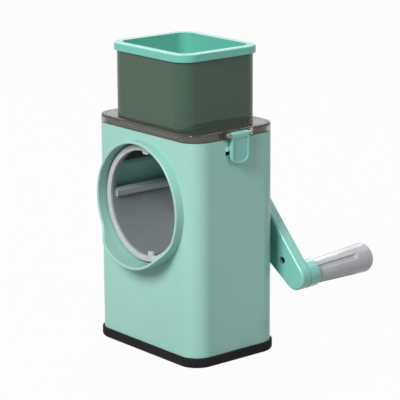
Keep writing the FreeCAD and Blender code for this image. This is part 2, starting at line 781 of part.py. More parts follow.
def makeDrumCylinder():
    body = addBody("drum_cylinder")
    wall = addSketch(body, "XZ_Plane", f"-{ringBack}")
    addCircle(wall, "size.drumRadius")
    addCircle(wall, drumInner)
    addFeature(body, "Pad", wall, f"{drumRear} - {ringBack}", reverse=True)
    windows = addSketch(body, "XZ_Plane", f"-{windowFront}")
    beyond = "(size.drumRadius + size.drumSheet)"
    addRectangle(windows, f"-{beyond}", "-size.windowSide", "size.windowEdge", beyond)
    addRectangle(windows, "size.windowSide", beyond, f"-{beyond}", "-size.windowEdge")
    addFeature(body, "Pocket", windows, f"{windowRear} - {windowFront}")
    return body


def makeBlade(name, sign):
    """Bent knife: flat against the drum wall, then leaning out through the window to its edge."""
    body = addBody(name)
    section = addSketch(body, "XZ_Plane", f"-{bladeStart}")
    addProfile(section, [
        (f"{sign} * {bladeInner}", f"{sign} * size.bladeBelow"),
        (f"{sign} * {bladeOuter}", f"{sign} * size.bladeBelow"),
        (f"{sign} * {bladeOuter}", f"-{sign} * size.bladeAbove"),
        (f"{sign} * ({bladeOuter} + size.bladeTipOut)",
         f"-{sign} * (size.bladeAbove + size.bladeTipRise)"),
        (f"{sign} * {bladeInner}", f"-{sign} * size.bladeAbove"),
    ])
    addFeature(body, "Pad", section, f"{bladeEnd} - {bladeStart}", reverse=True)
    return body


def makeCompound(label, members):
    group = doc.addObject("Part::Compound", label)
    group.Label = label
    group.Links = members
    return group


def makeDrumRearDisc():
    body = addBody("drum_rear_disc")
    section = addSketch(body, "XY_Plane")
    hubFront = f"{drumRear} - size.drumHubLength"
    spigotOuter = f"({drumInner} - size.fitGap)"
    spigotInner = f"({spigotOuter} - size.spigotWall)"
    addProfile(section, [
        ("0", discBack),
        ("0", hubFront),
        ("size.drumHubRadius", hubFront),
        ("size.drumHubRadius", drumRear),
        (spigotInner, drumRear),
        (spigotInner, f"{drumRear} - size.spigotLength"),
        (spigotOuter, f"{drumRear} - size.spigotLength"),
        (spigotOuter, drumRear),
        ("size.drumRadius", f"{drumRear} + size.fitGap"),
        ("size.drumRadius", discBack),
    ])
    addRevolution(body, section)
    roundEdges(body, "size.bodyEdge", lambda edge: flatAt(edge, "Y", num(hubFront)))
    rib = addSketch(body, "XY_Plane")
    addProfile(rib, [
        ("size.drumHubRadius - size.ribSink", f"{drumRear} - size.ribHeight"),
        (f"{spigotInner} + size.ribSink", f"{drumRear} - size.ribTip"),
        (f"{spigotInner} + size.ribSink", f"{drumRear} + size.ribSink"),
        ("size.drumHubRadius - size.ribSink", f"{drumRear} + size.ribSink"),
    ])
    pad = addFeature(body, "Pad", rib, "size.ribThickness", bothWays=True)
    addPolarPattern(body, pad, (section, ["V_Axis"]), "size.ribCount")
    socket = addSketch(body, "XZ_Plane", f"-{discBack}")
    addHexagon(socket, "size.drumHex + 2 * size.hexGap")
    addFeature(body, "Pocket", socket, "size.drumHexLength + size.looseGap", reverse=True)
    return body


# ---- shaft and bearing -------------------------------------------------------------------

bushFront = f"({rearInner} - size.bushFlange)"
shaftCollarFront = f"({discBack} + size.fitGap)"
shaftCollarBack = f"({bushFront} - size.runningGap)"
washerBack = f"({bossEnd} + size.runningGap + size.washerThickness)"
armInner = "(size.bodyDepth / 2 + size.crankGap)"
seam = f"({armInner} + size.coverThickness)"
armOuter = f"({seam} + size.armThickness)"
shaftEnd = f"({washerBack} + size.fitGap + size.crankHexLength)"


def makeShaftBush():
    body = addBody("shaft_bush")
    section = addSketch(body, "XY_Plane")
    bore = "size.journalRadius + size.runningGap"
    addProfile(section, [
        (bore, bushFront),
        ("size.bushFlangeRadius", bushFront),
        ("size.bushFlangeRadius", rearInner),
        ("size.bushRadius", rearInner),
        ("size.bushRadius", bossEnd),
        (bore, bossEnd),
    ])
    addRevolution(body, section)
    return body


def makeThrustWasher():
    body = addBody("thrust_washer")
    disc = addSketch(body, "XZ_Plane", f"-{bossEnd} - size.runningGap")
    addCircle(disc, "size.washerRadius")
    addCircle(disc, "size.journalRadius + size.runningGap")
    addFeature(body, "Pad", disc, "size.washerThickness", reverse=True)
    return body


def makeDriveShaft():
    body = addBody("drive_shaft")
    section = addSketch(body, "XY_Plane")
    addProfile(section, [
        ("0", shaftCollarFront),
        ("size.shaftCollarRadius", shaftCollarFront),
        ("size.shaftCollarRadius", shaftCollarBack),
        ("size.journalRadius", shaftCollarBack),
        ("size.journalRadius", washerBack),
        ("0", washerBack),
    ])
    addRevolution(body, section)
    front = addSketch(body, "XZ_Plane", f"-{shaftCollarFront}")
    addHexagon(front, "size.drumHex")
    addFeature(body, "Pad", front, "size.drumHexLength")
    rear = addSketch(body, "XZ_Plane", f"-{washerBack}")
    turnSketch(rear, "-size.crankDrop")
    addHexagon(rear, "size.crankHex")
    addFeature(body, "Pad", rear, "size.crankHexLength", reverse=True)
    thread = addSketch(body, "XZ_Plane", f"-{washerBack} - size.crankHexLength")
    addCircle(thread, "size.hubScrewRadius + size.fitGap")
    addFeature(body, "Pocket", thread, "size.hubScrewLength + size.looseGap", reverse=True)
    return body


# ---- crank -------------------------------------------------------------------------------
# The crank's pieces are modelled with the arm along X and then turned about the drum axis.

crankPlace = Placement(Vector(0, 0, num(axis)), Rotation(Vector(0, 1, 0), num("size.crankDrop")))
gripTilt = Rotation(Vector(0, 0, 1), num("size.gripCant"))
gripPlace = crankPlace.multiply(Placement(Vector(num("size.crankLength"), num(armOuter), 0), gripTilt))
wellFloor = f"({shaftEnd} + size.fitGap + size.hubWeb)"
armScrews = ("size.armScrewNear", "size.armScrewFar")


def addArmOutline(sketch, inset):
    """Two round ends joined by their common tangents."""
    hub = f"(size.crankHubRadius - {inset})"
    end = f"(size.crankEndRadius - {inset})"
    lean = "((size.crankHubRadius - size.crankEndRadius) / size.crankLength)"
    rise = f"sqrt(1 - {lean} * {lean})"
    addProfile(sketch, [
        (f"{hub} * {lean}", f"-{hub} * {rise}"),
        (f"size.crankLength + {end} * {lean}", f"-{end} * {rise}", end),
        (f"size.crankLength + {end}", "0", end),
        (f"size.crankLength + {end} * {lean}", f"{end} * {rise}"),
        (f"{hub} * {lean}", f"{hub} * {rise}", hub),
        (f"-{hub}", "0", hub),
    ])


def addArmPocket(body, offset, depth, reverse):
    """Hollow inside of an arm half, with a core round the shaft and posts round the screws."""
    hollow = addSketch(body, "XZ_Plane", offset)
    addArmOutline(hollow, "size.armWall")
    addCircle(hollow, "size.armCoreRadius")
    for place in armScrews:
        addCircle(hollow, "size.armPostRadius", place)
    addFeature(body, "Pocket", hollow, depth, reverse=reverse)


def makeCrankArmCover():
    body = addBody("crank_arm_cover")
    outline = addSketch(body, "XZ_Plane", f"-{armInner}")
    addArmOutline(outline, "0")
    addFeature(body, "Pad", outline, "size.coverThickness", reverse=True)
    roundEdges(body, "size.armEdge", lambda edge: flatAt(edge, "Y", num(armInner)))
    roundEdges(body, "size.seamEdge", lambda edge: flatAt(edge, "Y", num(seam)))
    addArmPocket(body, f"-{seam}", "size.coverThickness - size.armWall", reverse=True)
    collar = addSketch(body, "XZ_Plane", f"-{washerBack} - size.fitGap")
    addCircle(collar, "size.armCollarRadius")
    addFeature(body, "Pad", collar, f"{armInner} - {washerBack} + size.fitGap", reverse=True)
    socket = addSketch(body, "XZ_Plane", f"-{washerBack} + size.fitGap")
    addHexagon(socket, "size.crankHex + 2 * size.fitGap")
    addFeature(body, "Pocket", socket, "2 * size.coverThickness")
    wells = addSketch(body, "XZ_Plane", f"-{armInner}")
    holes = addSketch(body, "XZ_Plane", f"-{armInner}")
    for place in armScrews:
        addCircle(wells, "size.armScrewWellRadius", place)
        addCircle(holes, "size.screwShankRadius + size.screwHoleGap", place)
    addFeature(body, "Pocket", wells, "size.armScrewWellDepth")
    addFeature(body, "Pocket", holes, "size.coverThickness")
    return body


def makeCrankArm():
    body = addBody("crank_arm")
    outline = addSketch(body, "XZ_Plane", f"-{seam}")
    addArmOutline(outline, "0")
    addFeature(body, "Pad", outline, "size.armThickness", reverse=True)
    roundEdges(body, "size.armEdge", lambda edge: flatAt(edge, "Y", num(armOuter)))
    roundEdges(body, "size.seamEdge", lambda edge: flatAt(edge, "Y", num(seam)))
    addArmPocket(body, f"-{seam}", "size.armThickness - size.armWall", reverse=False)

    def addTiltedSketch():
        sketch = addSketch(body, "XZ_Plane")
        tilt = Rotation(Vector(0, 1, 0), num("size.gripCant"))
        sketch.AttachmentOffset = Placement(Vector(num("size.crankLength"), 0, -num(armOuter)), tilt)
        sketch.setExpression("AttachmentOffset.Base.x", "size.crankLength")
        sketch.setExpression("AttachmentOffset.Base.z", f"-{armOuter}")
        return sketch

    post = addTiltedSketch()
    addCircle(post, "size.gripPostRadius")
    addFeature(body, "Pad", post, "size.gripPostLength", reverse=True)
    root = addTiltedSketch()
    addCircle(root, "size.gripPostRadius - size.gripPostEdge / 2")
    addFeature(body, "Pad", root, "size.armEdge")
    postEnd = num(f"{armOuter} + size.gripPostLength - size.gripPostEdge")
    roundEdges(body, "size.gripPostEdge", lambda edge: edge.BoundBox.YMin > postEnd)
    thread = addTiltedSketch()
    addCircle(thread, "size.boltThreadRadius + size.fitGap")
    addFeature(body, "Pocket", thread, "2 * size.gripPostLength", bothWays=True)

    socket = addSketch(body, "XZ_Plane", f"-{seam}")
    addHexagon(socket, "size.crankHex + 2 * size.fitGap")
    addFeature(body, "Pocket", socket, f"{shaftEnd} + size.fitGap - {seam}")
    well = addSketch(body, "XZ_Plane", f"-{armOuter}")
    addCircle(well, "size.hubWellRadius")
    addFeature(body, "Pocket", well, f"{armOuter} - {wellFloor}", reverse=True)
    through = addSketch(body, "XZ_Plane", f"-{armOuter}")
    addCircle(through, "size.hubScrewRadius + size.screwHoleGap")
    addFeature(body, "Pocket", through, f"{armOuter} - {seam}", reverse=True)
    pilots = addSketch(body, "XZ_Plane", f"-{seam}")
    for place in armScrews:
        addCircle(pilots, "size.screwShankRadius + size.fitGap", place)
    addFeature(body, "Pocket", pilots, "size.armThickness - size.armWall")
    return body


def makeScrew(name, headRadius, headHeight, shankRadius, length):
    """Pan head screw. Its head rests on the plane y = 0 and its shank points to +Y."""
    body = addBody(name)
    section = addSketch(body, "XY_Plane")
    addProfile(section, [
        ("0", f"-{headHeight}"),
        (headRadius, f"-{headHeight}"),
        (headRadius, "0"),
        (shankRadius, "0"),
        (shankRadius, length),
        ("0", length),
    ])
    addRevolution(body, section)
    return body


def makeArmScrew(place, name):
    screw = makeScrew(name, "size.armScrewHeadRadius", "size.armScrewHeadHeight",
                      "size.screwShankRadius", "size.armScrewLength")
    seat = Vector(num(place), num(f"{armInner} + size.armScrewWellDepth"), 0)
    screw.Placement = Placement(seat, Rotation())
    return screw


def makeHubScrew():
    screw = makeScrew("hub_screw", "size.hubScrewHeadRadius", "size.hubScrewHeadHeight",
                      "size.hubScrewRadius", "size.hubScrewLength")
    inward = Rotation(Vector(1, 0, 0), 180)
    screw.Placement = Placement(Vector(0, num(wellFloor), num(axis)), inward)
    return screw


def makeHubCap():
    body = addBody("hub_cap")
    section = addSketch(body, "XY_Plane")
    spigot = "(size.hubWellRadius - size.fitGap)"
    spigotEnd = f"({wellFloor} + size.hubScrewHeadHeight + size.looseGap)"
    addProfile(section, [
        ("0", spigotEnd),
        (spigot, spigotEnd),
        (spigot, armOuter),
        ("size.hubCapRadius", armOuter),
        ("size.hubCapRadius", f"{armOuter} + size.hubCapHeight"),
        ("0", f"{armOuter} + size.hubCapHeight"),
    ])
    addRevolution(body, section)
    roundEdges(body, "size.hubCapHeight / 2",
               lambda edge: flatAt(edge, "Y", num(f"{armOuter} + size.hubCapHeight")))
    return body


# ---- grip --------------------------------------------------------------------------------
# The grip's pieces are modelled along Y from the arm's outer face, then canted and turned.

gripStart = "(size.gripPostLength + size.looseGap)"
gripSlope = f"((size.gripEndRadius - size.gripStartRadius) / (size.gripEnd - {gripStart}))"
seamRadius = f"(size.gripStartRadius + {gripSlope} * (size.gripSeam - {gripStart}))"
fluteEndRadius = f"(size.gripStartRadius + {gripSlope} * (size.fluteEnd - {gripStart}))"


def onGripSeam(edge):
    return flatAt(edge, "Y", num("size.gripSeam")) and edge.BoundBox.XMax > num("size.boltWellRadius") + tiny


def makeGrip():
    body = addBody("grip")
    bore = "(size.boltRadius + size.runningGap)"
    skin = addSketch(body, "XY_Plane")
    addProfile(skin, [
        (bore, gripStart),
        ("size.gripStartRadius", gripStart),
        (seamRadius, "size.gripSeam"),
        ("size.boltWellRadius", "size.gripSeam"),
        ("size.boltWellRadius", "size.boltSeat"),
        (bore, "size.boltSeat"),
    ])
    addRevolution(body, skin)
    flute = addSketch(body, "XZ_Plane", f"-{gripStart}")
    turnSketch(flute, "size.flutePhase")
    addRectangle(flute, "size.boltWellRadius", "size.gripEndRadius",
                 "-size.fluteWidth / 2", "size.fluteWidth / 2")
    pocket = addFeature(body, "Pocket", flute, f"size.fluteEnd - {gripStart}")
    addPolarPattern(body, pocket, (skin, ["V_Axis"]), "size.fluteCount")
    core = addSketch(body, "XY_Plane")
    addProfile(core, [
        (f"({bore} + size.boltWellRadius) / 2", gripStart),
        ("size.gripStartRadius - size.fluteDepth", gripStart),
        (f"{fluteEndRadius} - size.fluteDepth", "size.fluteEnd"),
        ("size.boltWellRadius", "size.fluteEnd"),
        ("size.boltWellRadius", "size.boltSeat"),
        (f"({bore} + size.boltWellRadius) / 2", "size.boltSeat - size.looseGap"),
    ])
    addRevolution(body, core)
    roundEdges(body, "size.seamEdge", onGripSeam)
    return body


def makeGripCap():
    body = addBody("grip_cap")
    section = addSketch(body, "XY_Plane")
    cornerCentre = "(size.gripEndRadius - size.capCorner)"
    cornerX = f"({cornerCentre} + size.capCorner * cos(size.capTurn))"
    cornerY = "(size.gripEnd + size.capCorner * sin(size.capTurn))"
    crown = f"({cornerCentre} / cos(size.capTurn) + size.capCorner)"
    top = f"(size.gripEnd - {cornerCentre} * tan(size.capTurn) + {crown})"
    spigot = "(size.boltWellRadius - size.fitGap)"
    addProfile(section, [
        ("0", "size.gripSeam - size.capSpigotLength"),
        (spigot, "size.gripSeam - size.capSpigotLength"),
        (spigot, "size.gripSeam"),
        (seamRadius, "size.gripSeam"),
        ("size.gripEndRadius", "size.gripEnd", "size.capCorner"),
        (cornerX, cornerY, crown),
        ("0", top),
    ])
    addRevolution(body, section)
    roundEdges(body, "size.seamEdge", onGripSeam)
    return body


def makeGripBolt():
    body = addBody("grip_bolt")
    section = addSketch(body, "XY_Plane")
    headStart = "(size.boltSeat + size.looseGap)"
    addProfile(section, [
        ("0", "-size.boltThreadDepth"),
        ("size.boltThreadRadius", "-size.boltThreadDepth"),
        ("size.boltThreadRadius", "size.gripPostLength + size.fitGap"),
        ("size.boltRadius", "size.gripPostLength + size.fitGap"),
        ("size.boltRadius", headStart),
        ("size.boltHeadRadius", headStart),
        ("size.boltHeadRadius", f"{headStart} + size.boltHeadHeight"),
        ("0", f"{headStart} + size.boltHeadHeight"),
    ])
    addRevolution(body, section)
    return body


# ---- all pieces --------------------------------------------------------------------------

parts.append(makeBodyShell())
parts.append(makeBasePlate())
parts.append(makeBasePad())

baseScrews = []
for index, (signX, signY) in enumerate(fourCorners):
    screw = makeScrew(f"base_screw_{index}", "size.screwHeadRadius", "size.screwHeadHeight",
                      "size.screwShankRadius", "size.screwLength")
    seat = num("size.baseHeight - size.plateThickness + size.screwHeadHeight + size.screwHoleGap / 2")
    place = Vector(num(f"{signX} * {postX}"), num(f"{signY} * {postY}"), seat)
    screw.Placement = Placement(place, Rotation(Vector(1, 0, 0), 90))
    baseScrews.append(screw)
parts.append(makeCompound("base_screws", baseScrews))

parts.append(makeHopper())
parts.append(makePusher())
parts.append(makeLatch("latch_right", Rotation()))
parts.append(makeLatch("latch_left", Rotation(Vector(0, 0, 1), 180)))

latchPins = []
for name, sign in (("latch_pin_right", "1"), ("latch_pin_left", "-1")):
    pin = doc.addObject("Part::Cylinder", name)
    pin.setExpression("Radius", "size.pinRadius")
    pin.setExpression("Height", f"2 * ({earStart} + size.earWidth - size.earCap - size.fitGap)")
    start = Vector(num(f"{sign} * {pinX}"), -num(f"{earStart} + size.earWidth - size.earCap - size.fitGap"),
                   num(pinHeight))
    pin.Placement = Placement(start, Rotation(Vector(1, 0, 0), -90))
    latchPins.append(pin)
parts.append(makeCompound("latch_pins", latchPins))

for make in (makeDrumFrontRing, makeDrumCylinder, makeDrumRearDisc,
             makeShaftBush, makeThrustWasher, makeDriveShaft):
    placeOnAxis(make())

placeOnAxis(makeCompound("slicing_blades", [makeBlade("blade_left", "-1"), makeBlade("blade_right", "1")]))

for piece in (makeCrankArm(), makeCrankArmCover(), makeHubCap()):
    piece.Placement = crankPlace
    parts.append(piece)
armScrewGroup = makeCompound("arm_screws", [makeArmScrew(place, f"arm_screw_{index}")
                                            for index, place in enumerate(armScrews)])
armScrewGroup.Placement = crankPlace
parts.append(armScrewGroup)
parts.append(makeHubScrew())

for piece in (makeGrip(), makeGripCap(), makeGripBolt()):
    piece.Placement = gripPlace
    parts.append(piece)

# ---- check and write ---------------------------------------------------------------------

doc.recompute()
for item in doc.Objects:
    if "Invalid" in item.State or "Error" in item.State:
        raise RuntimeError(f"{item.Label} is {item.State}")
for piece in parts:
    if piece.Shape.isNull() or not piece.Shape.isValid():
        raise RuntimeError(f"{piece.Label} has no valid shape")

os.makedirs("parts", exist_ok=True)
for piece in parts:
    piece.Shape.exportStep(f"parts/{piece.Label}.step")
    print(f"{piece.Label}: {len(piece.Shape.Solids)} solid(s), {piece.Shape.Volume:.0f} mm3")
print("grip axis", gripPlace.Rotation.multVec(Vector(0, 1, 0)), "through", gripPlace.Base)
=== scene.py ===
import math
import bpy
import bmesh
from mathutils import Matrix, Vector


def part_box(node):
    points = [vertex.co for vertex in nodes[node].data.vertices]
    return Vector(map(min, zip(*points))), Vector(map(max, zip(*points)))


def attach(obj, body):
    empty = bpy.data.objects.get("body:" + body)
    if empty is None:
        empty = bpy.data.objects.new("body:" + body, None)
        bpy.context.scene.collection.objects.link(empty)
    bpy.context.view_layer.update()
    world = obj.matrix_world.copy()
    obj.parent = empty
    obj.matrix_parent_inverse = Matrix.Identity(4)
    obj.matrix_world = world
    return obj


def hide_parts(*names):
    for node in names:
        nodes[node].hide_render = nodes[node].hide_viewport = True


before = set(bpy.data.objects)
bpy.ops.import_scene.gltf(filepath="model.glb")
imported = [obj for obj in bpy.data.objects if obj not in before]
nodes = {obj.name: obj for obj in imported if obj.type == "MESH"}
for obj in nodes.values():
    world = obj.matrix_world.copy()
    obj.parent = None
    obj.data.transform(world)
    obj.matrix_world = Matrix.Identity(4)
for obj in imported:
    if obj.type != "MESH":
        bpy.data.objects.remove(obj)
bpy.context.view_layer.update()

mm = 0.001
near = 0.01 * mm                       # tolerance when parts of a mesh are picked
white = (1, 1, 1, 1)
print("frame loaded:", len(nodes), "nodes")


# shader maths: a Wire is a socket that adds Math nodes when it is used in an expression
class Wire:
    def __init__(self, finish, socket):
        self.finish = finish
        self.socket = socket

    def join(self, operation, other):
        return self.finish.add("ShaderNodeMath", {0: self, 1: other}, operation=operation)

    def __add__(self, other):
        return self.join("ADD", other)

    def __mul__(self, other):
        return self.join("MULTIPLY", other)

    def most(self, other):
        return self.join("MAXIMUM", other)

    def below(self, limit):
        return self.join("LESS_THAN", limit)


# one material: its Principled shader and the nodes that feed it
class Finish:
    def __init__(self, name):
        self.material = bpy.data.materials.new(name)
        self.material.use_nodes = True
        self.tree = self.material.node_tree
        self.tree.nodes.clear()
        self.output = self.tree.nodes.new("ShaderNodeOutputMaterial")
        self.shader = self.tree.nodes.new("ShaderNodeBsdfPrincipled")
        self.tree.links.new(self.shader.outputs[0], self.output.inputs["Surface"])

    def put(self, socket, value):
        if isinstance(value, Wire):
            self.tree.links.new(value.socket, socket)
        else:
            socket.default_value = value

    def add(self, kind, sockets=None, out=0, **settings):
        node = self.tree.nodes.new(kind)
        for name, value in settings.items():
            setattr(node, name, value)
        for name, value in (sockets or {}).items():
            self.put(node.inputs[name], value)
        return Wire(self, node.outputs[out])

    def place(self, scale=(1, 1, 1)):
        where = self.add("ShaderNodeTexCoord", out="Object")
        return self.add("ShaderNodeMapping", {"Vector": where, "Scale": scale})

    def noise(self, scale, detail, rough=0.5, where=None):
        return self.add("ShaderNodeTexNoise", {"Vector": where or self.place(), "Scale": scale,
                                               "Detail": detail, "Roughness": rough})

    def spread(self, value, low, high, fromLow=0.3, fromHigh=0.7):  # noise value to a range
        return self.add("ShaderNodeMapRange", {"Value": value, "From Min": fromLow,
                                               "From Max": fromHigh, "To Min": low, "To Max": high})

    def tint(self, share, first, second):
        return self.add("ShaderNodeMix", {0: share, 6: first, 7: second}, 2, data_type="RGBA")

    def bump(self, height, distance):
        return self.add("ShaderNodeBump", {"Height": height, "Distance": distance, "Strength": 1})

    def set(self, **sockets):
        for name, value in sockets.items():
            self.put(self.shader.inputs[socketNames[name]], value)

    def blend(self, share, other):  # shows a share of another shader in place of its own
        own = Wire(self, self.shader.outputs[0])
        self.put(self.output.inputs["Surface"],
                 self.add("ShaderNodeMixShader", {0: share, 1: own, 2: other}))


socketNames = {
    "color": "Base Color",
    "rough": "Roughness",
    "metal": "Metallic",
    "normal": "Normal",
    "coat": "Coat Weight",
    "coatRough": "Coat Roughness",
    "clear": "Transmission Weight",
    "ior": "IOR",
    "specular": "Specular IOR Level",
}


def rgb(red, green, blue):  # a colour given as it looks on a screen, 0 to 255
    def straight(value):
        value = value / 255
        return value / 12.92 if value <= 0.04045 else ((value + 0.055) / 1.055) ** 2.4
    return (straight(red), straight(green), straight(blue), 1)


# finishes that are alike all over. A noise is its scale, detail and, where given, roughness, and
# "even" holds the sockets that keep one value
plainLooks = {
    "shellPlastic": {                  # moulded mint plastic of the housing
        "wearers": ("body_shell",),
        "color": rgb(159, 208, 196),
        "cloud": rgb(153, 204, 191),   # very slight cloudiness of the moulding
        "cloudNoise": (14, 3),
        "rough": (0.32, 0.40),
        "roughNoise": (60, 4),
        "grain": 0.012 * mm,           # orange peel
        "grainNoise": (900, 2, 0.4),
        "even": {"coat": 0.1, "coatRough": 0.18, "specular": 0.3},
    },
    "trimPlastic": {                   # glossier mint plastic
        "wearers": ("latch_right", "latch_left", "crank_arm", "crank_arm_cover", "hub_cap"),
        "color": rgb(130, 199, 187),
        "cloud": rgb(122, 193, 181),
        "cloudNoise": (12, 1),
        "rough": (0.20, 0.30),
        "roughNoise": (45, 1),
        "grain": 0.008 * mm,
        "grainNoise": (1100, 2, 0.4),
        "even": {"coat": 0.3, "coatRough": 0.12},
    },
    "cupPlastic": {                    # the pusher's deeper mint
        "wearers": ("pusher",),
        "color": rgb(104, 188, 171),
        "cloud": rgb(97, 182, 165),
        "cloudNoise": (12, 1),
        "rough": (0.26, 0.34),
        "roughNoise": (45, 1),
        "grain": 0.008 * mm,
        "grainNoise": (1100, 2, 0.4),
        "even": {"coat": 0.3, "coatRough": 0.12},
    },
    "drumPlastic": {                   # pale grey moulded plastic
        "wearers": ("drum_front_ring", "drum_rear_disc"),
        "color": rgb(200, 201, 203),
        "cloud": rgb(188, 189, 192),
        "cloudNoise": (120, 4),
        "rough": (0.32, 0.42),
        "roughNoise": (80, 3),
        "grain": 0.01 * mm,
        "grainNoise": (1000, 2),
        "even": {},
    },
    "gripPlastic": {                   # light grey, slightly milky plastic
        "wearers": ("grip", "grip_cap"),
        "color": rgb(182, 183, 186),
        "cloud": rgb(172, 174, 177),
        "cloudNoise": (60, 3),
        "rough": (0.26, 0.34),
        "roughNoise": (150, 3),
        "grain": 0.006 * mm,
        "grainNoise": (900, 2),
        "even": {"coat": 0.12, "coatRough": 0.2},
    },
    "padRubber": {                     # charcoal rubber with a little dust
        "wearers": ("base_pad",),
        "color": rgb(32, 30, 32),
        "cloud": rgb(42, 40, 42),
        "cloudNoise": (40, 5, 0.6),
        "cloudSpread": (0, 0.5, 0.45, 0.75),
        "rough": (0.62, 0.8),
        "roughNoise": (1500, 3, 0.6),
        "grain": 0.03 * mm,
        "grainNoise": (1500, 3, 0.6),
        "even": {"specular": 0.1},
    },
    "partSteel": {                     # zinc-bright steel
        "wearers": ("base_screws", "latch_pins", "drive_shaft", "hub_screw", "grip_bolt"),
        "color": rgb(176, 178, 180),
        "rough": (0.25, 0.4),
        "roughNoise": (400, 3),
        "grain": 0.004 * mm,
        "grainNoise": (2500, 2),
        "even": {"metal": 1.0},
    },
    "blackSteel": {                    # blackened steel
        "wearers": ("arm_screws",),
        "color": rgb(52, 60, 58),
        "rough": (0.42, 0.55),
        "roughNoise": (400, 3),
        "grain": 0.004 * mm,
        "grainNoise": (2500, 2),
        "even": {"metal": 1.0},
    },
    "platePlastic": {                  # dark plastic
        "wearers": ("base_plate",),
        "color": rgb(58, 60, 60),
        "rough": (0.45, 0.6),
        "roughNoise": (200, 3),
        "grain": 0.012 * mm,
        "grainNoise": (1300, 2),
        "even": {},
    },
    "nylon": {
        "wearers": ("shaft_bush", "thrust_washer"),
        "color": rgb(226, 223, 212),
        "rough": (0.35, 0.5),
        "roughNoise": (200, 3),
        "grain": 0.008 * mm,
        "grainNoise": (1300, 2),
        "even": {},
    },
}


def makePlain(name, look):
    finish = Finish(name)
    color = look["color"]
    if "cloud" in look:
        share = finish.spread(finish.noise(*look["cloudNoise"]), *look.get("cloudSpread", (0, 1)))
        color = finish.tint(share, color, look["cloud"])
    finish.set(color=color, rough=finish.spread(finish.noise(*look["roughNoise"]), *look["rough"]),
               normal=finish.bump(finish.noise(*look["grainNoise"]), look["grain"]), **look["even"])
    return finish


# steels with fine lines: rolled, with lines round the drum, and ground, with lines along the knives
linedLooks = {
    "drumSteel": {
        "wearers": ("drum_cylinder",),
        "color": rgb(163, 167, 171),
        "streak": rgb(147, 152, 157),
        "streakScale": (30, 2200, 30),
        "streakNoise": (1, 3, 0.6),
        "streakShare": 0.6,            # of the colour's pattern, the patches have the rest
        "patchNoise": (35, 3),
        "rough": (0.42, 0.55),
        "grain": 0.004 * mm,
        "metal": 0.3,
    },
    "knifeSteel": {
        "wearers": ("slicing_blades",),
        "color": rgb(206, 208, 210),
        "streak": rgb(186, 189, 192),
        "streakScale": (2500, 40, 2500),
        "streakNoise": (1, 2, 0.6),
        "streakShare": 1,
        "patchNoise": (50, 3),
        "rough": (0.3, 0.42),
        "grain": 0.004 * mm,
        "metal": 0.4,
    },
}


def makeLined(name, look):
    finish = Finish(name)
    streaks = finish.noise(*look["streakNoise"], finish.place(look["streakScale"]))
    patches = finish.noise(*look["patchNoise"])
    pattern = streaks * look["streakShare"] + patches * (1 - look["streakShare"])
    finish.set(color=finish.tint(finish.spread(pattern, 0, 1), look["color"], look["streak"]),
               rough=finish.spread(patches, *look["rough"]), metal=look["metal"],
               normal=finish.bump(streaks, look["grain"]))
    return finish


# smoky clear plastic of the lid and hopper, milkier and greener up the hopper's walls
smokePlastic = {
    "wearers": ("hopper",),
    "color": rgb(78, 96, 82),
    "lidPaintedLight": rgb(224, 222, 212),    # painted light: the lid is given a paler colour for the light its edge gathers
    "rough": (0.03, 0.07),
    "roughNoise": (70, 4),
    "grain": 0.003 * mm,
    "grainNoise": (300, 2),
    "clear": 0.95,
    "ior": 1.49,
    "specular": 0.3,
    "milk": rgb(84, 118, 94),
    "milkRough": 0.08,
    "milkShare": 0.5,
    "rise": 56.3 * mm,                 # the hopper's rim above the top of the lid
    "change": 1.5 * mm,                # height over which the lid turns into the hopper
    "depthColor": rgb(120, 122, 112),  # what thick stretches turn to
    "depth": 140,                      # absorption for each metre
}


def makeSmoke(name, look):
    finish = Finish(name)
    height = finish.add("ShaderNodeSeparateXYZ", {0: finish.place()}, "Z")
    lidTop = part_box("hopper")[1][2] - look["rise"]
    aboveLid = finish.spread(height, 0, 1, lidTop, lidTop + look["change"])
    # the lid below the hopper's walls gets the paler colour, which is painted light
    finish.set(color=finish.tint(aboveLid, look["lidPaintedLight"], look["color"]),
               rough=finish.spread(finish.noise(*look["roughNoise"]), *look["rough"]),
               normal=finish.bump(finish.noise(*look["grainNoise"]), look["grain"]),
               clear=look["clear"], ior=look["ior"], specular=look["specular"])
    milk = finish.add("ShaderNodeBsdfPrincipled", {"Base Color": look["milk"],
                                                   "Roughness": look["milkRough"],
                                                   "Specular IOR Level": look["specular"]})
    finish.blend(aboveLid * look["milkShare"], milk)
    smoke = finish.add("ShaderNodeVolumeAbsorption", {"Color": look["depthColor"],
                                                      "Density": look["depth"]})
    finish.put(finish.output.inputs["Volume"], smoke)
    return finish


finishes = {}


def dress(name, look, make):
    finishes[name] = make(name, look)
    for wearer in look["wearers"]:
        data = nodes[wearer].data
        data.materials.clear()
        data.materials.append(finishes[name].material)


for name, look in plainLooks.items():
    dress(name, look, makePlain)
for name, look in linedLooks.items():
    dress(name, look, makeLined)
dress("smokePlastic", smokePlastic, makeSmoke)
print("finishes made:", len(finishes))


# hand tools for the new pieces
def alone(piece):
    bpy.ops.object.select_all(action="DESELECT")
    piece.select_set(True)
    bpy.context.view_layer.objects.active = piece


def startPiece(name):  # takes the primitive just added into edit mode
    piece = bpy.context.object
    piece.name = name
    alone(piece)
    bpy.ops.object.transform_apply(location=True, rotation=True, scale=True)
    bpy.ops.object.mode_set(mode="EDIT")
    return piece


def pick(piece, kind, test):  # selects the vertices, edges or faces whose middle passes the test
    bpy.ops.mesh.select_mode(type=kind)
    bpy.ops.mesh.select_all(action="DESELECT")
    mesh = bmesh.from_edit_mesh(piece.data)
    for part in {"VERT": mesh.verts, "EDGE": mesh.edges, "FACE": mesh.faces}[kind]:
        if kind == "VERT":
            middle = part.co
        elif kind == "EDGE":
            middle = (part.verts[0].co + part.verts[1].co) / 2
        else:
            middle = part.calc_center_median()
        part.select_set(test(middle))
    mesh.select_flush_mode()
    bmesh.update_edit_mesh(piece.data)


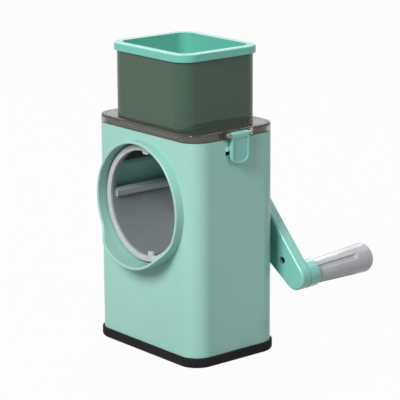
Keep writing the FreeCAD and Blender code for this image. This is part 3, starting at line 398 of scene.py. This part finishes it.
def pull(x, y, z):
    bpy.ops.mesh.extrude_region_move(TRANSFORM_OT_translate={"value": (x, y, z)})


def grow(x, y, z, centre):
    bpy.ops.transform.resize(value=(x, y, z), center_override=centre)


def modify(piece, kind, **settings):  # adds a modifier and applies it
    alone(piece)
    change = piece.modifiers.new("change", kind)
    for name, value in settings.items():
        setattr(change, name, value)
    bpy.ops.object.modifier_apply(modifier="change")


def closePiece():  # normals outwards, back to object mode
    bpy.ops.mesh.select_all(action="SELECT")
    bpy.ops.mesh.normals_make_consistent(inside=False)
    bpy.ops.object.mode_set(mode="OBJECT")


def smooth(piece, angle=32):  # flat faces stay flat where they meet at more than the angle
    alone(piece)
    bpy.ops.object.shade_smooth_by_angle(angle=math.radians(angle))


def settle(piece, place):  # puts a finished piece at its place, with the place in its mesh
    alone(piece)
    piece.matrix_world = place
    bpy.ops.object.transform_apply(location=True, rotation=True, scale=True)


def fit(piece, finish, body, node):
    piece.data.materials.clear()
    piece.data.materials.append(finishes[finish].material)
    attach(piece, body)
    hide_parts(node)


# the crank turns about a level line along Y at this height
crankAxis = 120.7 * mm

# fluted sleeve of the grip. Pairs are a distance from the arm's outer face along the grip and a
# radius, and the well is the recess for the end cap
gripSleeve = {
    "droop": 39.8,                     # degrees that the crank hangs below level
    "reach": 94.8 * mm,
    "armFace": 59 * mm,
    "lean": 2,                         # degrees
    "sides": 120,
    "start": (10.2 * mm, 9.6 * mm),
    "fluteStop": (49.6 * mm, 11.31 * mm),
    "fluteEnd": (52.4 * mm, 11.43 * mm),
    "seam": (53 * mm, 11.457 * mm),
    "well": (46 * mm, 8 * mm),
    "bore": 3.05 * mm,
    "flutes": 4,
    "firstFlute": 73.8,                # degrees round the grip
    "fluteFloor": 9.1,                 # degrees each side of its middle
    "fluteDepth": 1.3 * mm,
    "edge": 0.38 * mm,
    "edgeSegments": 3,
    "edgeAngle": 28,                   # sharper edges than this many degrees are rounded
    "smoothAngle": 35,
}


def makeGripSleeve():
    look = gripSleeve
    start, radius = look["start"]
    bpy.ops.mesh.primitive_circle_add(vertices=look["sides"], radius=radius, location=(0, start, 0),
                                      rotation=(math.pi / 2, 0, 0))
    piece = startPiece("grip_sleeve")
    step = math.tau / look["flutes"]

    def atDistance(point, distance):
        return abs(point.y - distance) < near

    def onFloor(point, distance):
        turn = math.atan2(point.z, point.x) % step
        floor = min(turn, step - turn) < math.radians(look["fluteFloor"])
        return floor and atDistance(point, distance)

    def ring(distance, radius, lastDistance, lastRadius):
        factor = radius / lastRadius
        pull(0, distance - lastDistance, 0)
        grow(factor, 1, factor, (0, distance, 0))

    sunk = 1 - look["fluteDepth"] / radius
    pick(piece, "VERT", lambda point: onFloor(point, start))
    grow(sunk, 1, sunk, (0, start, 0))
    bpy.ops.mesh.select_all(action="SELECT")
    last = look["start"]
    for corner in (look["fluteStop"], look["fluteEnd"]):
        ring(*corner, *last)
        last = corner
    pick(piece, "VERT", lambda point: onFloor(point, last[0]))
    grow(1 / sunk, 1, 1 / sunk, (0, last[0], 0))
    pick(piece, "VERT", lambda point: atDistance(point, last[0]))
    wellMouth = (look["seam"][0], look["well"][1])
    boreAtWell = (look["well"][0], look["bore"])
    for corner in (look["seam"], wellMouth, look["well"], boreAtWell, (start, look["bore"])):
        ring(*corner, *last)
        last = corner
    pick(piece, "VERT", lambda point: atDistance(point, start))
    bpy.ops.mesh.bridge_edge_loops()
    closePiece()
    modify(piece, "BEVEL", width=look["edge"], segments=look["edgeSegments"], limit_method="ANGLE",
           angle_limit=math.radians(look["edgeAngle"]))
    smooth(piece, look["smoothAngle"])
    turned = Matrix.Rotation(math.radians(look["droop"]), 4, "Y")
    out = Matrix.Translation((look["reach"], look["armFace"], 0))
    leaning = Matrix.Rotation(math.radians(look["lean"]), 4, "Z")
    flute = Matrix.Rotation(math.radians(-look["firstFlute"]), 4, "Y")
    settle(piece, Matrix.Translation((0, 0, crankAxis)) @ turned @ out @ leaning @ flute)
    fit(piece, "gripPlastic", "grip", "grip")


# slicing knives: a rounded bar along the drum, with a thin ground lip that reaches out of the window
slicingKnife = {
    "back": -41.8 * mm,                # against the drum wall
    "thick": 2.4 * mm,
    "low": -3.0 * mm,                  # below and above the drum's middle
    "high": 2.5 * mm,
    "front": -37 * mm,
    "rear": 27.7 * mm,
    "round": 1.1 * mm,
    "roundSegments": 5,
    "lipRoot": 0.7 * mm,
    "lipReach": (-1.9 * mm, 1.5 * mm),
    "lipThin": 0.3,                    # thickness of the lip's edge as a share of its root
}


def makeKnives():
    look = slicingKnife
    inner = look["back"] + look["thick"]
    top = crankAxis + look["high"]
    lipRoot = look["back"] + look["lipRoot"]
    middle = (look["back"] + look["thick"] / 2, (look["rear"] + look["front"]) / 2,
              crankAxis + (look["low"] + look["high"]) / 2)
    sides = (look["thick"], look["rear"] - look["front"], look["high"] - look["low"])
    bpy.ops.mesh.primitive_cube_add(size=1, location=middle, scale=sides)
    knife = startPiece("knife_left")
    pick(knife, "EDGE", lambda point: point.x > inner - near and abs(point.y - middle[1]) < near)
    bpy.ops.mesh.bevel(offset=look["round"], segments=look["roundSegments"], affect="EDGES")
    bpy.ops.mesh.select_all(action="SELECT")
    bpy.ops.mesh.bisect(plane_co=(lipRoot, 0, 0), plane_no=(1, 0, 0))
    pick(knife, "FACE", lambda point: point.z > top - near and point.x < lipRoot)
    outwards, upwards = look["lipReach"]
    pull(outwards, 0, upwards)
    grow(look["lipThin"], 1, 1, (look["back"] + outwards, middle[1], top))
    closePiece()
    smooth(knife)
    bpy.ops.object.duplicate()
    other = bpy.context.object
    other.name = "knife_right"
    bpy.ops.transform.rotate(value=math.pi, orient_axis="Y", center_override=(0, 0, crankAxis))
    bpy.ops.object.transform_apply(location=True, rotation=True, scale=True)
    for piece in (knife, other):
        fit(piece, "knifeSteel", "crank", "slicing_blades")


# cross-headed screws, whose places are the middles of their heads' outer faces
screwShape = {
    "sides": 32,
    "headRound": 0.16,                 # of the head's radius
    "headSegments": 3,
    "pitch": 0.8 * mm,
    "core": 0.86,                      # of the shank's radius
    "tip": 0.45,
    "crossReach": 0.62,                # of the head's radius
    "crossWidth": 0.24,
    "crossDepth": 0.55,                # of the head's height
    "crossTaper": 0.55,
    "firstTwist": 0.4,                 # radians
    "nextTwist": 1.1,
}
armScrew = {
    "headRadius": 2.7 * mm,
    "headHeight": 1.3 * mm,
    "shankRadius": 1.25 * mm,
    "shankLength": 4.4 * mm,
    "places": ((27.66 * mm, 50.7 * mm, 97.66 * mm), (59.93 * mm, 50.7 * mm, 70.77 * mm)),
    "turned": Matrix.Rotation(-math.pi / 2, 4, "X"),  # shank towards +Y
}
baseScrew = {
    "headRadius": 3.2 * mm,
    "headHeight": 1.7 * mm,
    "shankRadius": 1.25 * mm,
    "shankLength": 10.0 * mm,
    "places": tuple((x * 52.91 * mm, y * 33.90 * mm, 5.05 * mm) for x in (-1, 1) for y in (-1, 1)),
    "turned": Matrix.Identity(4),
}


def makeScrew(name, look):  # the head's face at the origin, the shank up
    shape = screwShape
    headRadius = look["headRadius"]
    headHeight = look["headHeight"]
    bpy.ops.mesh.primitive_cylinder_add(vertices=shape["sides"], radius=headRadius, depth=headHeight,
                                        location=(0, 0, headHeight / 2))
    screw = startPiece(name)
    pick(screw, "EDGE", lambda point: point.z < near)
    bpy.ops.mesh.bevel(offset=headRadius * shape["headRound"], segments=shape["headSegments"],
                       affect="EDGES")
    pick(screw, "FACE", lambda point: point.z > headHeight - near)
    bpy.ops.mesh.inset(thickness=headRadius - look["shankRadius"])
    height = headHeight
    for turn in range(int(look["shankLength"] / shape["pitch"]) - 1):
        for factor in (shape["core"], 1 / shape["core"]):
            height += shape["pitch"] / 2
            pull(0, 0, shape["pitch"] / 2)
            grow(factor, factor, 1, (0, 0, height))
    end = headHeight + look["shankLength"]
    pull(0, 0, end - height)
    grow(shape["tip"], shape["tip"], 1, (0, 0, end))
    closePiece()
    smooth(screw)
    for angle in (0, math.pi / 2):
        cutSlot(screw, headRadius, headHeight, angle)
    return screw


def cutSlot(screw, headRadius, headHeight, angle):  # one bar of the cross, tapered like its driver
    shape = screwShape
    deep = headHeight * shape["crossDepth"]
    sides = (headRadius * shape["crossReach"] * 2, headRadius * shape["crossWidth"], deep * 2)
    bpy.ops.mesh.primitive_cube_add(size=1, location=(0, 0, 0), rotation=(0, 0, angle), scale=sides)
    cutter = startPiece("cross")
    pick(cutter, "FACE", lambda point: point.z > deep - near)
    grow(shape["crossTaper"], shape["crossTaper"], 1, (0, 0, deep))
    bpy.ops.object.mode_set(mode="OBJECT")
    modify(screw, "BOOLEAN", operation="DIFFERENCE", solver="EXACT", object=cutter)
    bpy.data.objects.remove(cutter)


def placeScrews(name, look, finish, body, node):
    screws = [makeScrew(name, look)]
    for place in look["places"][1:]:
        alone(screws[0])
        bpy.ops.object.duplicate()
        screws.append(bpy.context.object)
    for number, (screw, place) in enumerate(zip(screws, look["places"])):
        screw.name = name + "_" + str(number + 1)
        angle = screwShape["firstTwist"] + number * screwShape["nextTwist"]
        twist = Matrix.Rotation(angle, 4, "Z")
        settle(screw, Matrix.Translation(place) @ look["turned"] @ twist)
        fit(screw, finish, body, node)


makeGripSleeve()
makeKnives()
placeScrews("arm_screw", armScrew, "blackSteel", "crank", "arm_screws")
placeScrews("base_screw", baseScrew, "partSteel", "housing", "base_screws")
print("grip sleeve, knives and screws made")


# floor and white surroundings
studio = {
    "floorSize": 6.0,
    "floorColor": (0.28, 0.28, 0.28, 1),
    "floorRough": 0.8,
    "floorWhite": 0.965,               # share of the floor that shows as plain white
    "worldStrength": 0.07,
    "lightAim": 0.12,                  # height that the soft boxes point at
}


class Backdrop(Finish):  # the nodes of the world
    def __init__(self, world):
        world.use_nodes = True
        self.tree = world.node_tree
        self.tree.nodes.clear()
        self.output = self.tree.nodes.new("ShaderNodeOutputWorld")


def seeingRays(finish):  # 1 for the rays that should meet a white background, 0 for the light on things
    camera = finish.add("ShaderNodeLightPath", out="Is Camera Ray")
    glossy = finish.add("ShaderNodeLightPath", out="Is Glossy Ray")
    through = finish.add("ShaderNodeLightPath", out="Is Transmission Ray")
    bounces = finish.add("ShaderNodeLightPath", out="Diffuse Depth")
    return camera.most(glossy).most(through) * bounces.below(0.5)


def makeFloor():
    bpy.ops.mesh.primitive_plane_add(size=studio["floorSize"], location=(0, 0, 0))
    floor = bpy.context.object
    floor.name = "floor"
    finish = Finish("floorPaper")
    finish.set(color=studio["floorColor"], rough=studio["floorRough"])
    paper = finish.add("ShaderNodeEmission", {"Color": white, "Strength": 1})
    finish.blend(seeingRays(finish) * studio["floorWhite"], paper)
    floor.data.materials.append(finish.material)


def makeWorld():
    world = bpy.data.worlds.new("studio")
    bpy.context.scene.world = world
    backdrop = Backdrop(world)
    light = backdrop.add("ShaderNodeBackground", {"Color": white,
                                                  "Strength": studio["worldStrength"]})
    plain = backdrop.add("ShaderNodeBackground", {"Color": white, "Strength": 1})
    mix = backdrop.add("ShaderNodeMixShader", {0: seeingRays(backdrop), 1: light, 2: plain})
    backdrop.put(backdrop.output.inputs["Surface"], mix)


def direction(azimuth, elevation):  # towards someone who stands there, azimuth 0 in front of the outlet
    turn = math.radians(azimuth)
    lift = math.radians(elevation)
    return Vector((math.sin(turn) * math.cos(lift), -math.cos(turn) * math.cos(lift), math.sin(lift)))


# soft boxes: azimuth, elevation, distance, width, height, watts
softBoxes = {
    "key": (14, 36, 2.2, 0.9, 0.9, 49),
    "fill": (95, 30, 2.0, 1.0, 1.0, 9.2),
    "glint": (160, 48, 1.5, 0.3, 0.3, 0.8),
    "top": (230, 58, 1.5, 0.8, 0.8, 6),
    "rear": (235, 42, 2.0, 1.2, 1.2, 16),
}


def makeSoftBoxes():
    aim = Vector((0, 0, studio["lightAim"]))
    for name, (azimuth, elevation, distance, width, height, watts) in softBoxes.items():
        data = bpy.data.lights.new(name, "AREA")
        data.shape = "RECTANGLE"
        data.size = width
        data.size_y = height
        data.energy = watts
        lamp = bpy.data.objects.new(name, data)
        bpy.context.scene.collection.objects.link(lamp)
        towards = direction(azimuth, elevation)
        lamp.location = aim + towards * distance
        lamp.rotation_mode = "QUATERNION"
        lamp.rotation_quaternion = (-towards).to_track_quat("-Z", "Y")


# the main camera, in front of the right side and a little above the part
cameraPlace = {
    "azimuth": 50.351,
    "elevation": 14.201,
    "roll": -0.290,
    "distance": 1.54975,
    "lens": 176.59,                    # mm
    "sensor": 36,                      # mm
    "clipStart": 0.05,
    "aimAcross": 11.414 * mm,          # aim point beside the middle of the base, and above the table
    "aimHeight": 116.367 * mm,
}


def makeCamera():
    look = cameraPlace
    azimuth = math.radians(look["azimuth"])
    roll = math.radians(look["roll"])
    back = direction(look["azimuth"], look["elevation"])
    across = Vector((math.cos(azimuth), math.sin(azimuth), 0))
    up = back.cross(across)
    right = across * math.cos(roll) + up * math.sin(roll)
    top = up * math.cos(roll) - across * math.sin(roll)
    data = bpy.data.cameras.new("camera")
    data.lens = look["lens"]
    data.sensor_width = look["sensor"]
    data.clip_start = look["clipStart"]
    camera = bpy.data.objects.new("camera", data)
    bpy.context.scene.collection.objects.link(camera)
    aim = across * look["aimAcross"] + Vector((0, 0, look["aimHeight"]))
    camera.rotation_mode = "QUATERNION"
    camera.rotation_quaternion = Matrix((right, top, back)).transposed().to_quaternion()
    camera.location = aim + back * look["distance"]
    bpy.context.scene.camera = camera


makeFloor()
makeWorld()
makeSoftBoxes()
makeCamera()
bpy.context.scene.view_settings.view_transform = "Standard"
print("studio ready")
